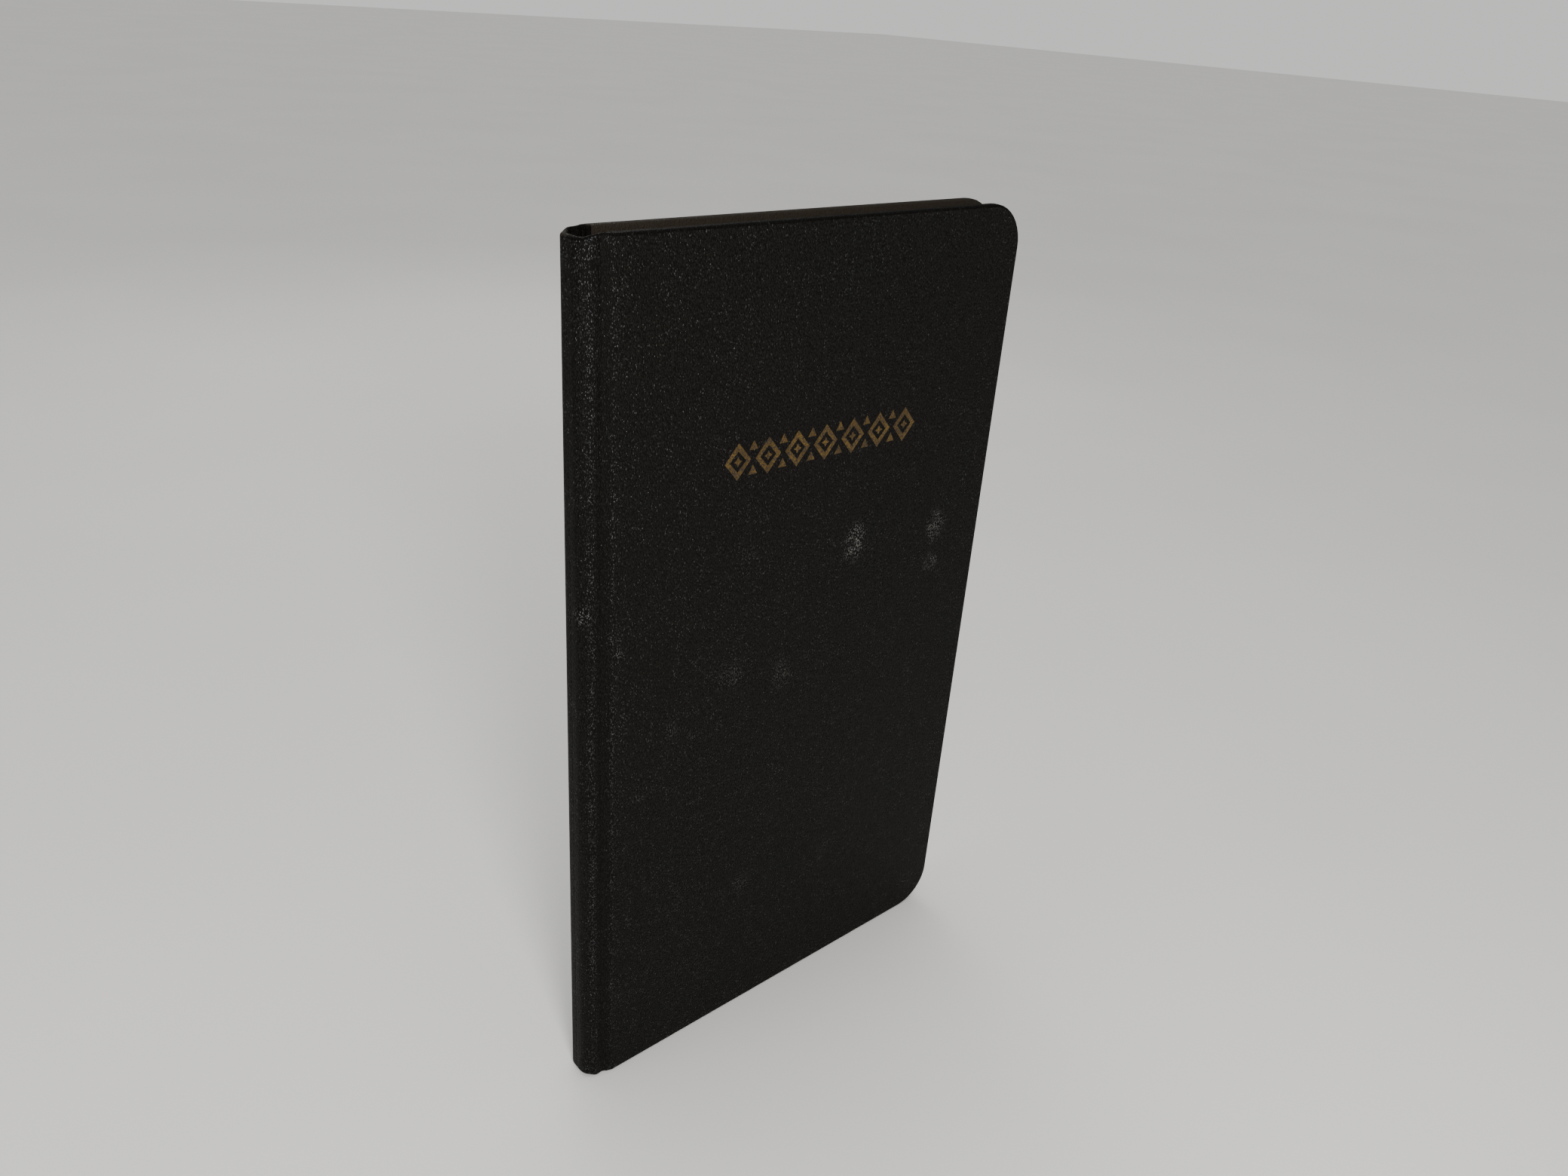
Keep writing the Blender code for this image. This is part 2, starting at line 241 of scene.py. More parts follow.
def outline_chain(left, right, bottom, top, radius, steps):
    """Points (across, height) from the tail's left end round both right corners to the head's left end."""
    straight, arc, upright = steps
    points = [(mix(left, right - radius, i / straight), bottom) for i in range(straight + 1)]
    for centre_z, start in ((bottom + radius, -90), (top - radius, 0)):
        for i in range(1, 2 * arc + 1):
            turn = math.radians(start + 90 * i / (2 * arc))
            points.append((right - radius + radius * math.cos(turn), centre_z + radius * math.sin(turn)))
        if start < 0:
            low, high = bottom + radius, top - radius
            points += [(right, mix(low, high, i / upright)) for i in range(1, upright + 1)]
    points += [(mix(right - radius, left, i / straight), top) for i in range(1, straight + 1)]
    return points


def shares(points):
    """How far along a line each of its points is, from 0 to 1."""
    steps = [math.dist(a, b) for a, b in zip(points, points[1:])]
    total = sum(steps)
    return [sum(steps[:i]) / total for i in range(len(points))]


def patch(chain, steps):
    """A grid that fills the chain's outline, as columns of (reach, height)."""
    straight, arc, upright = steps
    across, along = straight + arc, upright + 2 * arc
    tail = chain[: across + 1]
    fore = chain[across : across + along + 1]
    head = chain[across + along :][::-1]
    us, vs = shares(tail), shares(fore)
    left = [(tail[0][0], mix(tail[0][1], head[0][1], v)) for v in vs]
    grid = []
    for i, u in enumerate(us):
        column = []
        for j, v in enumerate(vs):
            point = []
            for k in (0, 1):
                edges = mix(tail[i][k], head[i][k], v) + mix(left[j][k], fore[j][k], u)
                corners = mix(mix(tail[0][k], tail[-1][k], u), mix(head[0][k], head[-1][k], u), v)
                point.append(edges - corners)
            column.append(tuple(point))
        grid.append(column)
    return grid, vs


# ---------------------------------------------------------------- case cloth


def relief(side, reach, height):
    """How far the cover's face stands in or out of flat: slow waves and a little settling of the cloth."""
    slow = 0.045 * MM * wave(reach, side * 0.05, height, 34 * MM, 1.7)
    quick = 0.012 * MM * wave(reach, side * 0.09, height, 6 * MM, 5.1)
    return (slow + quick) * smooth((reach - RIDGE_REACH) / (8 * MM))


def groove_depth(reach):
    """Depth of the cloth's outer face between the crest of the spine and the face of the board."""
    dip = GROOVE_DIP * math.sin(math.pi * smooth((reach - CREST_REACH) / (2.4 * MM)))
    return CREST_DEPTH * (1 - smooth((reach - GROOVE_LOW_REACH) / (RIDGE_REACH - GROOVE_LOW_REACH))) + dip


def joint_paper_depth(reach):
    """Depth of the endpaper in the joint: out of its fold, along the cloth, and up on to the board."""
    along = (reach - FOLD_REACH) / (JOINT_END - FOLD_REACH)
    sunk = smooth((reach - FOLD_REACH) / (0.5 * MM)) * (1 - smooth((reach - 4.25 * MM) / (0.95 * MM)))
    return mix(mix(FOLD_DEPTH, PASTE_DEPTH, along), JOINT_PAPER_DEPTH, sunk)


def spine_section():
    """Half the case's section, from the middle of the spine to the board.

    Each point is a reach, a depth, the thickness that the turned-in cloth wraps, and the dip of its ends.
    """
    section = []
    round_depth = CREST_DEPTH + SPINE_ROUND
    for i in range(BACK_STEPS):
        section.append((0.0, mix(THICKNESS / 2, round_depth, i / BACK_STEPS), SPINE_THICK, HEAD_DIP))
    for i in range(ROUND_STEPS + 1):
        turn = math.radians(90 * i / ROUND_STEPS)
        reach = CREST_REACH * (1 - math.cos(turn))
        depth = round_depth - SPINE_ROUND * math.sin(turn)
        share = smooth(2 * i / ROUND_STEPS - 1)
        section.append((reach, depth, mix(SPINE_THICK, JOINT_THICK, share), mix(HEAD_DIP, JOINT_DIP, share)))
    for i in range(1, JOINT_STEPS):
        reach = mix(CREST_REACH, RIDGE_REACH, i / JOINT_STEPS)
        room = joint_paper_depth(max(reach, FOLD_REACH)) - groove_depth(reach) - JOINT_GAP
        thick = mix(JOINT_THICK, COVER_THICK, smooth((reach - BEND_END) / (0.7 * MM)))
        section.append((reach, groove_depth(reach), min(thick, room), JOINT_DIP * (1 - smooth(i / 15))))
    return section


def section_normals(section):
    """Inward directions (reach, depth) at each point of the section."""
    found = []
    for i in range(len(section)):
        a, b = section[max(i - 1, 0)], section[min(i + 1, len(section) - 1)]
        along = (b[0] - a[0], b[1] - a[1])
        length = math.hypot(*along)
        found.append((-along[1] / length, along[0] / length))
        if a[0] >= CREST_REACH:
            found[-1] = (0.0, 1.0)
    found[0] = (1.0, 0.0)
    return found


def edge_profile(thick):
    """The wrap of the cloth over an edge of that thickness: how far its face stops short, and its rings.

    A ring is a distance in from the edge and a distance in from the face.
    """
    outer = min(OUTER_ROUND, 0.42 * thick)
    inner = min(INNER_ROUND, 0.3 * thick)
    profile = []
    for i in range(1, OUTER_STEPS + 1):
        turn = math.radians(90 * i / OUTER_STEPS)
        profile.append((outer * (1 - math.sin(turn)), outer * (1 - math.cos(turn))))
    profile.append((0.0, (outer + thick - inner) / 2))
    for i in range(INNER_STEPS + 1):
        turn = math.radians(90 * i / INNER_STEPS)
        profile.append((inner * (1 - math.cos(turn)), thick - inner + inner * math.sin(turn)))
    profile += [(width * MM, thick) for width in (1.2, 2.6, 5.0, 8.0, TURN_IN / MM)]
    return outer, profile


def case_face(side, section, board, heights):
    """The outside of half a case, column by column from the spine, and how much rubbing and painted sheen
    each of its points gets.
    """
    points, wear_and_sheen = [], []
    for reach, depth, thick, dip in section:
        inset = edge_profile(thick)[0] + dip
        for v in heights:
            points.append(place(side, reach, depth, mix(inset, HEIGHT - inset, v)))
            wear_and_sheen.append(crest_wear_and_sheen(reach, v * HEIGHT) + 0.5 * end_wear(v))
    for column in board:
        for reach, height in column:
            points.append(place(side, reach, relief(side, reach, height), height))
            near = min(WIDTH - reach, height, HEIGHT - height)
            wear_and_sheen.append(crest_wear_and_sheen(reach, height) + 0.15 * max(0.0, 1 - near / (2.2 * MM)))
    return points, wear_and_sheen


def wrap_ring(side, section, normals, k, board_ring):
    """Ring k of the cloth's wrap, in three runs: along the tail, round the board, and back along the head."""
    inset, inward = board_ring
    radius = max(CORNER_RADIUS - inset, 1.2 * MM)
    wrap = outline_chain(RIDGE_REACH, WIDTH - inset, inset, HEIGHT - inset, radius, CLOTH_STEPS)
    tail, head = [], []
    for (reach, depth, thick, dip), normal in zip(section, normals):
        near, far = edge_profile(thick)[1][k]
        r, d = reach + normal[0] * far, depth + normal[1] * far
        tail.append(place(side, r, d, near + dip))
        head.append(place(side, r, d, HEIGHT - near - dip))
    edge = [place(side, r, inward + pleat(r, h, inset), h) for r, h in wrap]
    return tail, edge, head[::-1]


def case_half(name):
    """One half of the case cloth, from the middle of the spine to the fore-edge, wrapped over its edges."""
    side = SIDES[name]
    section = spine_section()
    normals = section_normals(section)
    inset, board_rings = edge_profile(COVER_THICK)
    radius = CORNER_RADIUS - inset
    chain = outline_chain(RIDGE_REACH, WIDTH - inset, inset, HEIGHT - inset, radius, CLOTH_STEPS)
    board, heights = patch(chain, CLOTH_STEPS)
    points, wear_and_sheen = case_face(side, section, board, heights)
    rim = [0.0] * len(points)
    columns, rows = len(section) + len(board), len(heights)
    faces = grid_faces(columns, rows, flip=side == BACK)

    ring = [i * rows for i in range(columns)]
    ring += [(columns - 1) * rows + j for j in range(1, rows)]
    ring += [i * rows + rows - 1 for i in range(columns - 2, -1, -1)]
    for k, board_ring in enumerate(board_rings):
        tail, edge, head = wrap_ring(side, section, normals, k, board_ring)
        new_ring = list(range(len(points), len(points) + len(ring)))
        points += tail + edge + head
        # The back board's edges get painted light; the front board's edges and the inner rings get painted
        # shade.
        board_rim = LIT_RIM if side == BACK else SHADED_RIM
        head_rim = board_rim if k <= OUTER_STEPS else SHADED_RIM
        rim += [SHADED_RIM] * len(tail) + [board_rim] * len(edge) + [head_rim] * len(head)
        wear_and_sheen += [0.10] * len(ring)
        for a, b, c, d in zip(ring, ring[1:], new_ring[1:], new_ring):
            quad = (a, d, c, b)
            faces.append(quad[::-1] if side == BACK else quad)
        ring = new_ring
    made = mesh_object(name + "_case_cloth", points, faces)
    keep_value(made.data, "wear_and_sheen", wear_and_sheen)
    keep_value(made.data, "rim", rim)
    thicken(made, CLOTH, -1.0)
    bend_with_cover(made)
    made.data.materials.append(MATERIALS["cloth"])
    return made


def crest_wear_and_sheen(reach, height):
    """Rubbing and painted sheen along the spine's shoulder and the board's ridge, most of all at the head and
    weaker near the tail.

    Painted shade keeps the groove between them and the middle of the spine dark, and a painted bluish sheen
    lies on the spine near the head.
    """
    rubbed_and_sheen = 0.95 * band(reach, SHOULDER_REACH, 0.46 * MM) + 0.80 * band(reach, RIDGE_BAND_REACH, 0.30 * MM)
    dull = band(reach, GROOVE_REACH, 0.8 * MM) + band(reach, 0.0, 0.25 * MM)
    upper = mix(0.45, 1.0, smooth(height / (40 * MM)))
    # A painted sheen on the spine near the head.
    head = 0.45 * smooth((height - 132 * MM) / (12 * MM)) * band(reach, 0.0, 3.0 * MM)
    return upper * rubbed_and_sheen + head - 0.30 * dull


def band(reach, middle, half_width):
    """1 in the middle of a band that runs up the case, fading out over that half width."""
    return math.exp(-(((reach - middle) / half_width) ** 2))


def end_wear(share):
    """Rubbing that fades away from head and tail, by the share of the height."""
    near = min(share, 1 - share) * HEIGHT
    return math.exp(-near / (1.6 * MM))


def pleat(reach, height, inset):
    """Small gathers in the turned-in cloth at the rounded corners."""
    if inset < 1.0 * MM or inset > 10 * MM:
        return 0.0
    centre = WIDTH - CORNER_RADIUS
    across, up = reach - centre, min(height, HEIGHT - height) - CORNER_RADIUS
    if across < 0 or up > 0:
        return 0.0
    turn = math.atan2(-up, across)
    return -0.10 * MM * max(0.0, math.sin(turn * 14)) * smooth(1 - inset / (10 * MM))


def inlay():
    """The card that stiffens the spine, bent to its back and cut short inside the turned-in cloth."""
    section = spine_section()
    normals = section_normals(section)
    inward = CLOTH + 0.05 * MM + INLAY_CARD / 2
    half = [
        (reach + normal[0] * inward, depth + normal[1] * inward)
        for (reach, depth, *_), normal in zip(section, normals)
        if depth > INLAY_DEPTH
    ]
    line = [(FRONT, r, d) for r, d in half[::-1]] + [(BACK, r, d) for r, d in half[1:]]
    heights = [mix(INLAY_SHORT, HEIGHT - INLAY_SHORT, i / 40) for i in range(41)]
    points = [place(side, reach, depth, z) for side, reach, depth in line for z in heights]
    made = mesh_object("spine_inlay_strip", points, grid_faces(len(line), len(heights)))
    thicken(made, INLAY_CARD, 0.0)
    made.data.materials.append(MATERIALS["card"])
    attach(made, "spine")
    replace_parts(made, "spine_inlay")


# ---------------------------------------------------------------- paper


def paper_sheet(name, lead, y, right, seed, thickness, ripple):
    """An upright leaf at that y: lead holds its first columns as (x, y), where it comes out of a fold."""
    chain = outline_chain(
        lead[-1][0] + 0.4 * MM,
        right,
        PAGE_LOW.z + UNEVEN * wave(seed, 0, 0, 1, 3.3),
        PAGE_HIGH.z + UNEVEN * wave(seed, 1, 0, 1, 3.3),
        PAGE_RADIUS,
        LEAF_STEPS,
    )
    grid, heights = patch(chain, LEAF_STEPS)
    low, high = grid[0][0][1], grid[0][-1][1]
    points = []
    for x, lead_y in lead:
        points += [(x, lead_y, mix(low, high, v)) for v in heights]
    for column in grid:
        for x, z in column:
            far = (x - lead[-1][0]) / (right - lead[-1][0])
            points.append((x, y + ripple * far * wave(x, seed, z, 30 * MM, seed), z))
    made = mesh_object(name, points, grid_faces(len(lead) + len(grid), len(heights)))
    thicken(made, thickness, 0.0)
    return made


def fan(piece):
    """Bakes the leaf's placement into its mesh, where it stays at rest."""
    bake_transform(piece)


def pages():
    """Every leaf of every section, in halves of folded sheets."""
    for section in range(1, SECTIONS + 1):
        first = (section - 1) * 2 * SHEETS
        for sheet in range(1, SHEETS + 1):
            node = f"section_{section}_sheet_{sheet}"
            low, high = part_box(node)
            middle = (low.y + high.y) / 2
            spread = (high.y - low.y) / 2 - FOLD_GAP
            centre = low.x + FOLD_GAP + spread
            for half, sign, leaf in (("a", -1, first + sheet - 1), ("b", 1, first + 2 * SHEETS - sheet)):
                lead = []
                for i in range(4):
                    turn = math.radians(90 * i / 3)
                    lead.append((centre - spread * math.cos(turn), middle + sign * spread * math.sin(turn)))
                edge = PAGE_HIGH.x + UNEVEN * wave(leaf, 0, 0, 1.37, 0.7)
                y = middle + sign * spread
                made = paper_sheet(f"{node}_leaf_{half}", lead, y, edge, 0.37 * leaf, LEAF, LEAF_RIPPLE)
                fan(made)
                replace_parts(made, node)
                made.data.materials.append(MATERIALS["page"])


def flyleaf(name):
    """The loose half of an endpaper."""
    node = name + "_flyleaf"
    low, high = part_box(node)
    y = (low.y + high.y) / 2
    lead = [(low.x, y), (low.x + 0.5 * MM, y)]
    made = paper_sheet(node + "_sheet", lead, y, high.x, 9.1 * SIDES[name], ENDPAPER, FLYLEAF_RIPPLE)
    fan(made)
    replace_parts(made, node)
    made.data.materials.append(MATERIALS["endpaper"])


def pastedown(name):
    """The pasted half of an endpaper, and the strip of it that crosses the joint to the fold."""
    side = SIDES[name]
    node = name + "_pastedown"
    low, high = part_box(node)
    left, right = low.x + 1.0 * MM - LOW.x, high.x - LOW.x
    chain = outline_chain(left, right, PAGE_LOW.z, PAGE_HIGH.z, PAGE_RADIUS, LEAF_STEPS)
    grid, heights = patch(chain, LEAF_STEPS)
    points = []
    joint_line = joint_paper_section()
    for reach, depth in joint_line:
        points += [place(side, reach, depth, mix(PAGE_LOW.z, PAGE_HIGH.z, v)) for v in heights]
    for column in grid:
        for reach, height in column:
            points.append(place(side, reach, PASTE_DEPTH + paste_relief(reach, height), height))
    faces = grid_faces(len(joint_line) + len(grid), len(heights), flip=side == FRONT)
    made = mesh_object(node + "_sheet", points, faces)
    thicken(made, ENDPAPER * 0.8, 0.0)
    bend_with_cover(made)
    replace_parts(made, node)
    made.data.materials.append(MATERIALS["endpaper"])


def joint_paper_section():
    """The endpaper's way from its fold down into the joint and up on to the board, as (reach, depth)."""
    reaches = [mix(FOLD_REACH, JOINT_END, i / 32) for i in range(33)]
    return [(reach, joint_paper_depth(reach)) for reach in reaches]


def paste_relief(reach, height):
    """The step in the pastedown where the turned-in cloth ends under it, and slow waves of paste."""
    inside = min(WIDTH - reach, height, HEIGHT - height) - TURN_IN
    step = 0.10 * MM * smooth(-inside / (0.8 * MM))
    return 0.02 * MM * wave(reach, 0.3, height, 9 * MM, 2.2) - step + 0.05 * MM


# ---------------------------------------------------------------- stamped ornament


def lozenge_frame(centre, outer, inner):
    """The outer and inner outlines of a lozenge frame, whose half sizes are given as (across, up)."""
    corners = [(1, 0), (0, 1), (-1, 0), (0, -1)]
    rim = []
    for k in range(4):
        a, b = corners[k], corners[(k + 1) % 4]
        for i in range(6):
            share = i / 6
            rim.append((mix(a[0], b[0], share), mix(a[1], b[1], share)))
    out = [(centre[0] + x * outer[0], centre[1] + y * outer[1]) for x, y in rim]
    into = [(centre[0] + x * inner[0], centre[1] + y * inner[1]) for x, y in rim]
    return out, into


def star_points(centre, size, rays):
    """The outline of a star, half as wide between its rays as at their tips."""
    points = []
    for k in range(2 * rays):
        radius = size if k % 2 == 0 else size / 2
        turn = math.pi * k / rays + math.pi / 2
        points.append((centre[0] + radius * math.cos(turn), centre[1] + radius * math.sin(turn)))
    return points


def ornament():
    """A plain band of lozenges and small stars in worn foil, in place of any stamped words."""
    points, faces = [], []

    def add(flat):
        start = len(points)
        for reach, height in flat:
            points.append(place(FRONT, reach, relief(FRONT, reach, height) - FOIL_LIFT, height))
        return start

    def add_star(centre, size, rays):
        outline = star_points(centre, size, rays)
        start, count = add(outline + [centre]), len(outline)
        for k in range(count):
            faces.append((start + k, start + (k + 1) % count, start + count))

    pitch = BAND_WIDTH / LOZENGES
    half = (pitch * 0.43, BAND_HEIGHT / 2)
    hole = (half[0] - 1.0 * MM, half[1] - 1.35 * MM)
    for i in range(LOZENGES):
        centre = (BAND_REACH + (i - (LOZENGES - 1) / 2) * pitch, BAND_MIDDLE)
        outside, inside = lozenge_frame(centre, half, hole)
        a, b, count = add(outside), add(inside), len(outside)
        for k in range(count):
            n = (k + 1) % count
            faces.append((a + k, a + n, b + n, b + k))
        add_star(centre, 0.85 * MM, 4)
    for i in range(1, LOZENGES):
        for up in (-1, 1):
            centre = (BAND_REACH + (i - LOZENGES / 2) * pitch, BAND_MIDDLE + up * 0.33 * BAND_HEIGHT)
            add_star(centre, 1.05 * MM, 3)
    made = mesh_object("front_ornament_foil", points, faces, smooth_faces=False)
    made.data.materials.append(MATERIALS["foil"])
    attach(made, "front_cover")


# ---------------------------------------------------------------- materials


class Graph:
    """A short way to write a material's nodes; an input is given by its name, or as i0, i1 by its place."""

    def __init__(self, name):
        self.material = bpy.data.materials.new(name)
        self.material.use_nodes = True
        self.tree = self.material.node_tree
        self.shader = self.tree.nodes["Principled BSDF"]

    def node(self, kind, settings=None, **inputs):
        made = self.tree.nodes.new(kind)
        for key, value in (settings or {}).items():
            setattr(made, key, value)
        for key, value in inputs.items():
            numbered = key[0] == "i" and key[1:].isdigit()
            self.put(made.inputs[int(key[1:]) if numbered else key], value)
        return made

    def put(self, socket, value):
        if isinstance(value, bpy.types.NodeSocket):
            self.tree.links.new(value, socket)
        else:
            socket.default_value = value

    def math(self, operation, a, b=0.0, clamp=False):
        settings = {"operation": operation, "use_clamp": clamp}
        return self.node("ShaderNodeMath", settings, i0=a, i1=b).outputs[0]

    def vector_math(self, operation, a, b):
        return self.node("ShaderNodeVectorMath", {"operation": operation}, i0=a, i1=b).outputs[0]

    def stored(self, name):
        """A number that keep_value stored on the mesh."""
        return self.node("ShaderNodeAttribute", {"attribute_name": name}).outputs["Fac"]

    def spread(self, value, low, high, to_low=0.0, to_high=1.0):
        """Stretches a value from low..high to to_low..to_high, smoothly and clamped."""
        settings = {"interpolation_type": "SMOOTHSTEP", "clamp": True}
        made = self.node("ShaderNodeMapRange", settings, i0=value, i1=low, i2=high, i3=to_low, i4=to_high)
        return made.outputs[0]

    def rest(self, scale):
        """The place at rest, in metres, times a scale for each axis."""
        source = self.node("ShaderNodeAttribute", {"attribute_name": "rest"}).outputs["Vector"]
        return self.vector_math("MULTIPLY", source, scale)

    def rest_mm(self):
        """The place at rest, in millimetres."""
        return self.rest((1 / MM,) * 3)

    def rest_in(self, across, up):
        """The place at rest, counted in steps of those sizes across and up, for a streaky noise."""
        return self.rest((1 / across, 1 / across, 1 / up))

    def noise(self, place_in, scale, detail=3.0, roughness=0.55):
        made = self.node("ShaderNodeTexNoise", None, Vector=place_in, Scale=scale, Detail=detail)
        made.inputs["Roughness"].default_value = roughness
        return made.outputs[0]

    def cells(self, place_in):
        """The distance to the nearest of scattered centres, and a chance value that each centre has."""
        made = self.node("ShaderNodeTexVoronoi", {"feature": "F1"}, Vector=place_in, Scale=1.0)
        parts = self.node("ShaderNodeSeparateColor", None, Color=made.outputs["Color"])
        return made.outputs["Distance"], parts.outputs[0]

    def blend(self, share, a, b):
        made = self.node("ShaderNodeMix", {"data_type": "RGBA", "clamp_factor": True})
        self.put(made.inputs[0], share)
        self.put(made.inputs[6], a)
        self.put(made.inputs[7], b)
        return made.outputs[2]

    def bump(self, height, distance):
        return self.node("ShaderNodeBump", None, Height=height, Distance=distance, Strength=1.0).outputs[0]


def rgb(r, g, b):
    """A linear colour, opaque."""
    return (r, g, b, 1.0)


# The cloth's black dye; painted shade between its pebbles, on turned-in cloth and on the front board's edges;
# painted glints; painted light on the back board's edges; rubbed cloth with a painted bluish sheen; and
# chalky scuffs.
DYE = rgb(0.0074, 0.0074, 0.0069)
BROWN_DYE = rgb(0.0086, 0.0076, 0.0065)
VALLEY_SHADE = rgb(0.0034, 0.0032, 0.0029)
GLINT = rgb(0.054, 0.055, 0.056)
SHADED_CLOTH = rgb(0.0030, 0.0028, 0.0026)
LIT_EDGE_CLOTH = rgb(0.021, 0.0175, 0.0135)
RUBBED_SHEEN_CLOTH = rgb(0.064, 0.069, 0.078)
CHALKED_CLOTH = rgb(0.21, 0.205, 0.195)

GOLD = rgb(0.122, 0.075, 0.018)
DULL_GOLD = rgb(0.078, 0.047, 0.012)
BARE_CLOTH = rgb(0.016, 0.013, 0.011)
BROWNED_PAPER = rgb(0.44, 0.34, 0.21)

GRAIN_ACROSS = 0.23 * MM
GRAIN_UP = 0.38 * MM
GRAIN_DEPTH = 0.14 * MM
# How far from the spine the painted glints fade.
GLINT_FADE_WIDTH = 80.0 * MM


def grain(graph):
    """The pebble grain: its height, from 0 in the valleys to about 1, and a chance for each pebble."""
    shift = graph.noise(graph.rest_mm(), 1.6, 2.0)
    bent = graph.vector_math("ADD", graph.rest_in(GRAIN_ACROSS, GRAIN_UP), shift)
    distance, chance = graph.cells(bent)
    pebbles = graph.spread(distance, 0.12, 0.72, 1.0, 0.0)
    fine = graph.noise(graph.rest_in(0.14 * MM, 0.22 * MM), 1.0, 2.0)
    height = graph.math("ADD", graph.math("MULTIPLY", pebbles, 0.80), graph.math("MULTIPLY", fine, 0.30))
    return height, chance


SCUFFS = (
    # reach, height above the tail, half width and half height in millimetres, then strength
    (55.5, 96.0, 2.5, 4.0, 1.0),
    (76.5, 94.5, 2.5, 3.5, 0.6),
    (76.5, 87.0, 2.0, 2.0, 0.6),
    (40.0, 74.5, 2.5, 4.0, 0.2),
    (28.5, 77.5, 3.5, 3.0, 0.15),
    (54.5, 27.5, 2.0, 3.0, 0.2),
    (33.5, 30.5, 2.5, 2.0, 0.2),
    (10.5, 61.0, 1.5, 2.0, 0.2),
    (16.5, 71.0, 1.5, 2.5, 0.2),
    (6.0, 89.0, 1.0, 1.0, 0.75),
    (0.5, 96.5, 1.0, 2.0, 0.85),
)


def scuff_mask(graph):
    """Rubbed places on the front cover, broken up by noise, and a few faint upright scratches."""
    place_mm = graph.rest_mm()
    ragged = graph.noise(place_mm, 0.9, 4.0, 0.7)
    total = 0.0
    for reach, height, wide, tall, strength in SCUFFS:
        centre = (LOW.x / MM + reach, -THICKNESS / 2 / MM, height)
        off = graph.vector_math("SUBTRACT", place_mm, centre)
        flat = graph.vector_math("MULTIPLY", off, (1 / wide, 0.25, 1 / tall))
        far = graph.node("ShaderNodeVectorMath", {"operation": "LENGTH"}, i0=flat).outputs["Value"]
        near = graph.math("MULTIPLY", graph.spread(far, 0.2, 1.3, 1.0, 0.0), strength)
        total = graph.math("MAXIMUM", near, total)
    rubs = graph.math("MULTIPLY", total, graph.spread(ragged, 0.36, 0.58))
    streaks = graph.noise(graph.rest_in(0.5 * MM, 11 * MM), 1.0, 2.0)
    rare = graph.spread(graph.noise(place_mm, 0.06, 2.0), 0.50, 0.62, 0.0, 0.16)
    scratches = graph.math("MULTIPLY", graph.spread(streaks, 0.66, 0.74), rare)
    return graph.math("MAXIMUM", rubs, scratches)


def glint_mask(graph, height, chance, wear_and_sheen, patches):
    """The pebbles that catch the light, painted lighter as well as made glossier: few on the open board, more
    where the cloth is rubbed, and more towards the spine as painted light.
    """
    across = graph.node("ShaderNodeSeparateXYZ", None, Vector=graph.rest_mm()).outputs[0]
    # Painted light: glints fade from the spine towards the fore-edge.
    lit_near_spine = graph.spread(across, LOW.x / MM, (LOW.x + GLINT_FADE_WIDTH) / MM, 0.90, 0.50)
    polish_and_light = graph.math("MULTIPLY", graph.spread(patches, 0.32, 0.70, 0.35, 1.0), lit_near_spine)
    polish_and_light = graph.math("ADD", polish_and_light, graph.math("MULTIPLY", wear_and_sheen, 0.9), True)
    thin = graph.noise(graph.rest_in(0.11 * MM, 0.34 * MM), 1.0, 1.0)
    tops = graph.math("MULTIPLY", graph.spread(height, 0.42, 0.80), graph.spread(thin, 0.50, 0.64, 0.0, 1.5))
    few = graph.math("SUBTRACT", 0.66, graph.math("MULTIPLY", graph.math("MAXIMUM", wear_and_sheen, 0.0), 0.62))
    chosen = graph.spread(graph.math("SUBTRACT", chance, few), -0.08, 0.16)
    return graph.math("MULTIPLY", graph.math("MULTIPLY", chosen, tops), polish_and_light, True)


